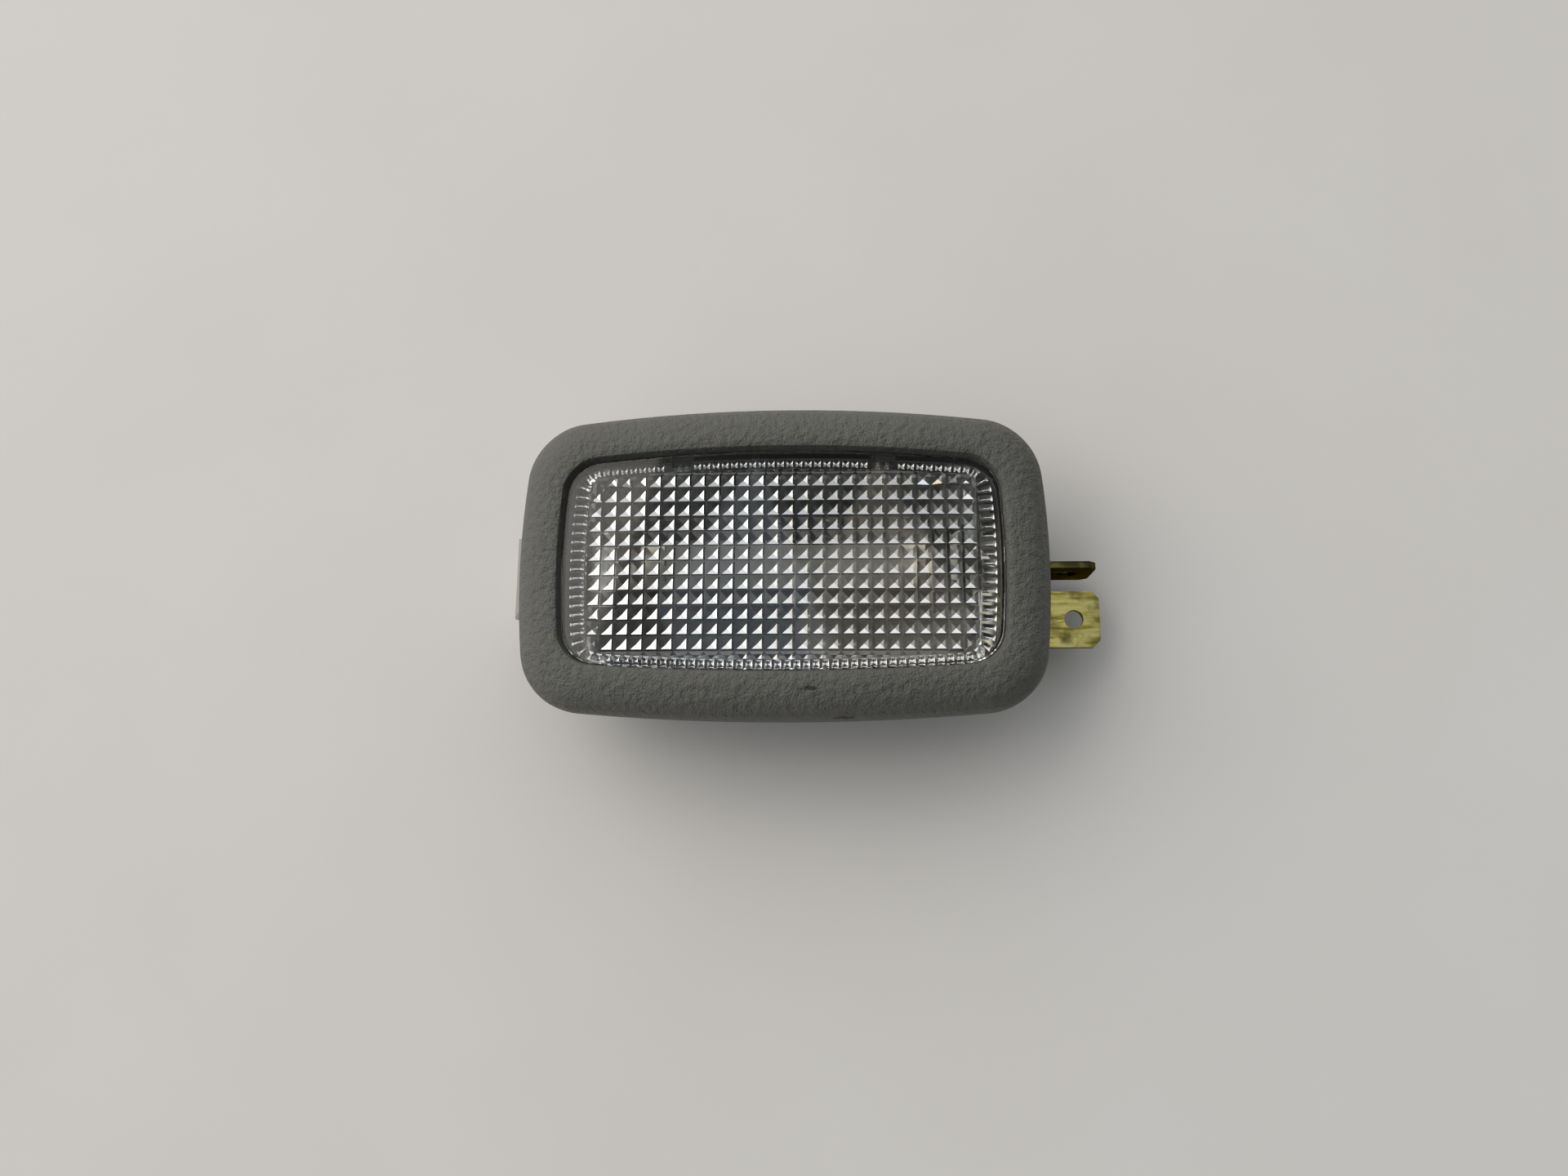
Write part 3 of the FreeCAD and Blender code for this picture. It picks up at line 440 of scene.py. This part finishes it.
ridges = [
    edge for edge in corners(lens, LENS_CORNER) if at_level(edge.verts, FLUTE_RIDGE)
]
print(len(ridges), "ridges and hips on the flutes")
round_off(lens, ridges, FLUTE_ROUND, segments=3)
rim = [
    edge for edge in corners(lens, SQUARE_CORNER)
    if min(vert.co.z for vert in edge.verts) > RIM_FOOT
]
round_off(lens, rim, RIM_ROUND, segments=3)
along_y = Matrix.Rotation(QUARTER, 4, "X")
for x in BAR_PLACES:
    spot = Matrix.Translation((x, BAR_MIDDLE, LENS_BACK - BAR_RADIUS))
    bmesh.ops.create_cone(
        lens, cap_ends=True, segments=BAR_SIDES, radius1=BAR_RADIUS, radius2=BAR_RADIUS,
        depth=BAR_LENGTH, matrix=spot @ along_y,
    )
hand_over(lens, "prism_lens", acrylic, "lamp", "lens", crease=LENS_CREASE)

# %% [markdown]
# ## The brass contacts
# Both contacts are stamped from half-hard brass sheet: polished on the faces, with scratches along
# the blade from a plug that has been pushed on and off, and dull smears where fingers and heat have
# tarnished it. They could share one material, but the upright one is far darker, so a loop makes a
# finish for each from the same nodes. That darkness is painted shade: the same brass, with its
# tarnish brown spread over nearly the whole blade and its glancing tint dimmed.

# %% Where the two blades differ
# The glance is the tint that the metal keeps where it is seen at a low angle.
BRASS = {
    "contact_flat": {
        "piece": "flat_blade_contact", "finish": "brass_sheet_stamped",
        "tarnish_and_shade": {"From Min": 0.5, "From Max": 0.7}, "glance": "#c8bc70",
    },
    # The upright blade gets painted shade: a darker glance, and a tarnish range that darkens nearly
    # all of it.
    "contact_upright": {
        "piece": "upright_blade_contact", "finish": "brass_sheet_painted_shade",
        "tarnish_and_shade": {"From Min": 0.0, "From Max": 0.45}, "glance": "#9c9468",
    },
}
print("brass:", ", ".join(BRASS))

# %% Stamped brass
# The scratches are drawn coarser than real ones, so that they show.
SCRATCH = 0.5 * MM
SCRATCH_DEPTH = 0.02 * MM
ALONG_BLADE = (0.14, 1.0, 1.0)
SMEAR = 2.6 * MM
TIN_ENDS = {"From Min": 22.6 * MM, "From Max": 23.4 * MM, "To Min": 1.0, "To Max": 0.0}
BENT_CORNER = math.radians(40)
STAMPED_EDGE = 0.08 * MM

# Rolled brass sheet: a clear yellow metal with streaky reflections along its length, browned where
# it has tarnished. On the upright blade the brown covers nearly all of it, as painted shade.
# Inside the lamp it is tinned, pale grey like the pan.
for node, sheet in BRASS.items():
    brass, tree, shader, place = start_finish(
        sheet["finish"], {"Metallic": 1.0, "Specular Tint": linear(sheet["glance"])},
    )
    along = add(tree, "ShaderNodeMapping", {"Vector": place, "Scale": ALONG_BLADE})
    scratch = add(tree, "ShaderNodeTexNoise",
                  {"Vector": along.outputs["Vector"], "Scale": 1 / SCRATCH, "Detail": 4.0})
    streak = add(tree, "ShaderNodeMapRange",
                 {"Value": scratch.outputs["Fac"], "From Min": 0.38, "From Max": 0.62})
    smear = add(tree, "ShaderNodeTexNoise", {"Vector": place, "Scale": 1 / SMEAR, "Detail": 4.0})
    stain_and_shade = add(tree, "ShaderNodeMapRange", {"Value": smear.outputs["Fac"], **sheet["tarnish_and_shade"]})
    gold = add(tree, "ShaderNodeMix", {
        SHARE: streak.outputs["Result"], FIRST: linear("#6e6d2e"), SECOND: linear("#d6d795"),
    }, data_type="RGBA")
    # The dark brown is tarnish in smears on the flat blade, and painted shade over nearly all of the
    # upright one.
    aged_and_shaded = add(tree, "ShaderNodeMix", {
        SHARE: stain_and_shade.outputs["Result"], FIRST: gold.outputs[MIXED], SECOND: linear("#47452d"),
    }, data_type="RGBA")
    reach = add(tree, "ShaderNodeSeparateXYZ", {"Vector": place}).outputs["X"]
    inside = add(tree, "ShaderNodeMapRange", {"Value": reach, **TIN_ENDS})
    tinned = add(tree, "ShaderNodeMix", {
        SHARE: inside.outputs["Result"], FIRST: aged_and_shaded.outputs[MIXED], SECOND: linear("#c9c9c6"),
    }, data_type="RGBA")
    tree.links.new(tinned.outputs[MIXED], shader.inputs["Base Color"])
    end_finish(tree, shader, streak.outputs["Result"], roughness=(0.05, 0.24))
    bump = add(tree, "ShaderNodeBump", {
        "Height": scratch.outputs["Fac"], "Strength": 0.25, "Distance": SCRATCH_DEPTH,
    })
    tree.links.new(bump.outputs["Normal"], shader.inputs["Normal"])
    contact = sewn(node)
    round_off(contact, corners(contact, BENT_CORNER), STAMPED_EDGE, segments=2)
    hand_over(contact, sheet["piece"], brass, "lamp", node)

# %% [markdown]
# ## The spring clip
# The clip is a leaf of plain spring steel, rolled at its root. A strip like this could be drawn as
# a curve with a width, but the solid already has its roll and its bend. Noise that is stretched
# along the width gives the rolling lines of the strip.

# %% Spring steel
ROLL_LINE = 0.2 * MM
ACROSS_STRIP = (1.0, 0.06, 1.0)
STRIP_EDGE = 0.05 * MM

# Cold-rolled spring strip: pale grey metal with fine rolling lines.
steel, tree, shader, place = start_finish("spring_steel_rolled", {"Metallic": 1.0})
lines = add(tree, "ShaderNodeMapping", {"Vector": place, "Scale": ACROSS_STRIP})
roll = add(tree, "ShaderNodeTexNoise",
           {"Vector": lines.outputs["Vector"], "Scale": 1 / ROLL_LINE, "Detail": 3.0})
end_finish(tree, shader, roll.outputs["Fac"], ("#b3afa8", "#cfccc5"), (0.28, 0.45))
clip = sewn("retaining_clip")
round_off(clip, corners(clip, SQUARE_CORNER), STRIP_EDGE, segments=2)
hand_over(clip, "spring_clip", steel, "clip", "retaining_clip")

# %% [markdown]
# ## Reflector and rear cover
# Behind the bulb lies a pan pressed from aluminium sheet. A mirror-bright pan would fill the prisms
# with broken pictures of the bulb, so this one is satin, and what shows between the bright facets
# is an even grey. The cover that closes the back is plain white plastic. Both are copies of their
# solids.

# %% Bright aluminium
PRESS_CLOUD = 4 * MM
PRESSED_EDGE = 0.06 * MM

# Bright-rolled aluminium, dulled by the press: a satin silver with a slight cloud.
aluminium, tree, shader, place = start_finish("bright_aluminium_pressed", {"Metallic": 1.0})
press = add(tree, "ShaderNodeTexNoise", {"Vector": place, "Scale": 1 / PRESS_CLOUD, "Detail": 4.0})
end_finish(tree, shader, press.outputs["Fac"], ("#9fa1a2", "#b7b8b9"), (0.42, 0.55))
pan = sewn("reflector")
round_off(pan, corners(pan, SQUARE_CORNER), PRESSED_EDGE, segments=2)
hand_over(pan, "reflector_pan", aluminium, "lamp", "reflector")

# %% White plastic
FLOW = 7 * MM

# Moulded polypropylene: milky, a little waxy, with faint flow clouds.
white, tree, shader, place = start_finish("white_polypropylene_moulded", {"IOR": 1.49})
flow = add(tree, "ShaderNodeTexNoise", {"Vector": place, "Scale": 1 / FLOW, "Detail": 4.0})
end_finish(tree, shader, flow.outputs["Fac"], ("#cfccc2", "#dedbd2"), (0.38, 0.55))
cover = sewn("rear_cover")
round_off(cover, corners(cover, SQUARE_CORNER), MOULD_EDGE, segments=2)
hand_over(cover, "rear_cover_plate", white, "lamp", "rear_cover")

# %% [markdown]
# ## The bulb
# A festoon bulb is a glass tube with a metal cap at each end and a coiled filament between two lead
# wires. The solid is only its outer shape. A copy of it would do behind the prisms, but the bulb
# should also be right with the lens taken off, so it is made here from its parts: a tube with a
# wall, two caps turned from a profile, and a coil that one spin winds.

# %% Glass, caps and tungsten
GLASS_WAVE = 5 * MM
TOUCH = 1.5 * MM
SOOT = 0.5 * MM

# Drawn soda-lime glass with a white coat inside: milky, so that the prisms show no bulb.
glass, tree, shader, place = start_finish(
    "soda_glass_white_coated", {"IOR": 1.52, "Transmission Weight": 0.15, "Roughness": 0.3},
)
wave = add(tree, "ShaderNodeTexNoise", {"Vector": place, "Scale": 1 / GLASS_WAVE})
end_finish(tree, shader, wave.outputs["Fac"], colours=("#9fa1a1", "#adaeae"))

# Nickel plate on drawn brass: a satin, slightly warm metal with the haze of handling.
nickel, tree, shader, place = start_finish("nickel_plated_brass_drawn", {"Metallic": 1.0})
touch = add(tree, "ShaderNodeTexNoise", {"Vector": place, "Scale": 1 / TOUCH, "Detail": 4.0})
end_finish(tree, shader, touch.outputs["Fac"], ("#b9b5ab", "#d6d3cb"), (0.35, 0.5))

# Drawn tungsten wire: dark grey metal.
tungsten, tree, shader, place = start_finish(
    "tungsten_wire_coiled", {"Metallic": 1.0, "Roughness": 0.4},
)
soot = add(tree, "ShaderNodeTexNoise", {"Vector": place, "Scale": 1 / SOOT})
end_finish(tree, shader, soot.outputs["Fac"], colours=("#6b6a68", "#8d8b88"))
print(glass.name, nickel.name, tungsten.name)

# %% Bulb glass
low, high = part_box("festoon_bulb")
BULB_AXIS = (low.z + high.z) / 2
BULB_TIP = high.x
CAP_RADIUS = (high.z - low.z) / 2
CAP_CONE = 2.6 * MM
CAP_SLEEVE = 3.0 * MM
GLASS_RADIUS = 3.8 * MM
GLASS_WALL = 0.5 * MM
GLASS_IN_CAP = 0.5 * MM
ROUND = 48

cone_start = BULB_TIP - CAP_CONE
cap_start = cone_start - CAP_SLEEVE
along_x = Matrix.Rotation(QUARTER, 4, "Y")
on_axis = Matrix.Translation((0, 0, BULB_AXIS))
tube = bmesh.new()
bmesh.ops.create_cone(
    tube, cap_ends=False, segments=ROUND, radius1=GLASS_RADIUS, radius2=GLASS_RADIUS,
    depth=2 * (cap_start + GLASS_IN_CAP), matrix=on_axis @ along_x,
)
bmesh.ops.recalc_face_normals(tube, faces=tube.faces)
bmesh.ops.solidify(tube, geom=tube.faces[:], thickness=GLASS_WALL)
bmesh.ops.recalc_face_normals(tube, faces=tube.faces)
hand_over(tube, "bulb_glass", glass, "lamp", "festoon_bulb")

# %% Bulb caps
# The profile runs from a cap's open end to its tip, each point as a reach along x and a radius.
LIP, LIP_DROP = 0.15 * MM, 0.03 * MM
LIP_END = 0.4 * MM
SHOULDER, SHOULDER_DROP = 0.3 * MM, 0.45 * MM
TIP_RADIUS = 0.8 * MM
PROFILE = [
    (cap_start, GLASS_RADIUS),
    (cap_start + LIP, CAP_RADIUS - LIP_DROP),
    (cap_start + LIP_END, CAP_RADIUS),
    (cone_start - SHOULDER, CAP_RADIUS),
    (cone_start + SHOULDER, CAP_RADIUS - SHOULDER_DROP),
    (BULB_TIP, TIP_RADIUS),
    (BULB_TIP, 0),
]

caps = bmesh.new()
spots = [caps.verts.new((x, 0, BULB_AXIS + radius)) for x, radius in PROFILE]
edges = [caps.edges.new(pair) for pair in zip(spots, spots[1:])]
bmesh.ops.spin(
    caps, geom=spots + edges, cent=(0, 0, BULB_AXIS), axis=(1, 0, 0), angle=2 * math.pi,
    steps=ROUND, use_merge=True,
)
bmesh.ops.remove_doubles(caps, verts=caps.verts, dist=SEW)
one_cap = caps.verts[:] + caps.edges[:] + caps.faces[:]
bmesh.ops.mirror(caps, geom=one_cap, axis="X", merge_dist=SEW)
bmesh.ops.recalc_face_normals(caps, faces=caps.faces)
hand_over(caps, "bulb_caps", nickel, "lamp")

# %% Filament and leads
COIL_RADIUS = 0.45 * MM
COIL_TURNS = 18
COIL_PITCH = 0.32 * MM
TURN_STEPS = 12
WIRE_RADIUS = 0.07 * MM
WIRE_SIDES = 6
LEAD_RADIUS = 2 * WIRE_RADIUS
LEAD_SIDES = 8
LEAD_IN_CAP = 0.3 * MM

coil_half = COIL_TURNS * COIL_PITCH / 2
wire_level = BULB_AXIS + COIL_RADIUS
coil = bmesh.new()
bmesh.ops.create_circle(
    coil, segments=WIRE_SIDES, radius=WIRE_RADIUS,
    matrix=Matrix.Translation((-coil_half, 0, wire_level)) @ along_y,
)
bmesh.ops.spin(
    coil, geom=coil.verts[:] + coil.edges[:], cent=(0, 0, BULB_AXIS), axis=(1, 0, 0),
    dvec=(COIL_PITCH / TURN_STEPS, 0, 0), angle=2 * math.pi * COIL_TURNS,
    steps=COIL_TURNS * TURN_STEPS,
)
lead = cap_start + LEAD_IN_CAP - coil_half
for end in (-1, 1):
    middle = Matrix.Translation((end * (coil_half + lead / 2), 0, wire_level))
    bmesh.ops.create_cone(
        coil, cap_ends=True, segments=LEAD_SIDES, radius1=LEAD_RADIUS, radius2=LEAD_RADIUS,
        depth=lead, matrix=middle @ along_x,
    )
open_ends = [edge for edge in coil.edges if edge.is_boundary]
bmesh.ops.holes_fill(coil, edges=open_ends, sides=LEAD_SIDES)
bmesh.ops.recalc_face_normals(coil, faces=coil.faces)
hand_over(coil, "bulb_filament", tungsten, "lamp")
